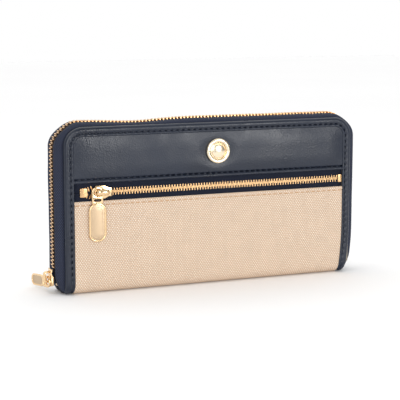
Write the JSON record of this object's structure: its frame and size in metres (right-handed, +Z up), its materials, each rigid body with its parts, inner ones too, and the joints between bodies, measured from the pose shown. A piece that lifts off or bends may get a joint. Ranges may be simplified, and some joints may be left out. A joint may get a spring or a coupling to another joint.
{
  "type": "zip around wallet",
  "caption": "Long zip around wallet in canvas and dark leather with a front zip pocket, a stud, inner card slots and a zipped coin pocket.",
  "frame": {"origin": "centre of the flat underside of the spine, on the surface that the wallet stands on", "axes": "+X along the wallet's length, to the right as seen from the front; the front cover faces -Y; +Z up"},
  "size_m": [0.2125, 0.0398, 0.1084],
  "materials": {
    "canvas": "woven cotton duck",
    "navy_leather": "fine grained, softly polished leather",
    "card_leather": "thin grained leather",
    "zip_tape": "herringbone woven cotton tape",
    "zip_metal": "polished, gold plated",
    "pull_metal": "die cast, pale gold plated",
    "stud_metal": "turned and gold plated",
    "lining": "plain woven cotton",
    "board": "grey bag board, hidden"
  },
  "bodies": {
    "spine": {"spine_canvas": "canvas", "spine_board": "board", "spine_binding_left": "navy_leather", "spine_binding_right": "navy_leather", "main_zip_end_left": "zip_tape", "main_zip_end_right": "zip_tape", "coin_pocket": "lining", "coin_zip_tape_front": "zip_tape", "coin_zip_tape_back": "zip_tape", "coin_zip_teeth_front": "zip_metal", "coin_zip_teeth_back": "zip_metal", "coin_zip_stops": "zip_metal"},
    "front_cover": {"front_canvas_panel": "canvas", "front_yoke": "navy_leather", "front_binding": "navy_leather", "front_board": "board", "front_lining": "lining", "front_card_leaf_1": "card_leather", "front_card_leaf_2": "card_leather", "front_card_leaf_3": "card_leather", "front_pocket_bag": "lining", "pocket_zip_tape_upper": "zip_tape", "pocket_zip_tape_lower": "zip_tape", "pocket_zip_teeth_upper": "zip_metal", "pocket_zip_teeth_lower": "zip_metal", "pocket_zip_top_stop": "zip_metal", "pocket_zip_bottom_stop": "zip_metal", "stud_cap": "stud_metal", "stud_rim": "stud_metal", "stud_backplate": "stud_metal", "main_zip_tape_front": "zip_tape", "main_zip_teeth_front": "zip_metal"},
    "back_cover": {"back_canvas_panel": "canvas", "back_yoke": "navy_leather", "back_binding": "navy_leather", "back_board": "board", "back_filler": "board", "back_lining": "lining", "back_card_leaf_1": "card_leather", "back_card_leaf_2": "card_leather", "back_card_leaf_3": "card_leather", "main_zip_tape_back": "zip_tape", "main_zip_teeth_back": "zip_metal"},
    "pocket_slider": {"pocket_slider_body": "pull_metal", "pocket_slider_crown": "pull_metal"},
    "pocket_pull": {"pocket_pull": "pull_metal"},
    "main_slider": {"main_slider_body": "pull_metal", "main_slider_crown": "pull_metal"},
    "main_pull": {"main_pull": "pull_metal"},
    "coin_slider": {"coin_slider_body": "pull_metal", "coin_slider_crown": "pull_metal"},
    "coin_pull": {"coin_pull": "pull_metal"}
  },
  "joints": [
    {"name": "front_cover_open", "type": "hinge", "parent": "spine", "child": "front_cover", "pos_m": [0, -0.0131, 0.00715], "axis": [1, 0, 0], "range_deg": [0, 80]},
    {"name": "back_cover_open", "type": "hinge", "parent": "spine", "child": "back_cover", "pos_m": [0, 0.0131, 0.00715], "axis": [-1, 0, 0], "range_deg": [0, 80]},
    {"name": "pocket_slider_travel", "type": "slide", "parent": "front_cover", "child": "pocket_slider", "axis": [1, 0, 0], "range_m": [0, 0.154]},
    {"name": "pocket_pull_swing", "type": "hinge", "parent": "pocket_slider", "child": "pocket_pull", "pos_m": [-0.0774, -0.0145, 0.063], "axis": [0, 1, 0], "range_deg": [-15, 180]},
    {"name": "main_slider_travel", "type": "slide", "parent": "spine", "child": "main_slider", "axis": [0, 0, 1], "range_m": [0, 0.07]},
    {"name": "main_pull_swing", "type": "hinge", "parent": "main_slider", "child": "main_pull", "pos_m": [-0.1055, 0, 0.0075], "axis": [-1, 0, 0], "range_deg": [-30, 200]},
    {"name": "coin_slider_travel", "type": "slide", "parent": "spine", "child": "coin_slider", "axis": [1, 0, 0], "range_m": [0, 0.14]},
    {"name": "coin_pull_swing", "type": "hinge", "parent": "coin_slider", "child": "coin_pull", "pos_m": [-0.07, 0, 0.0784], "axis": [0, -1, 0], "range_deg": [0, 180]}
  ]
}
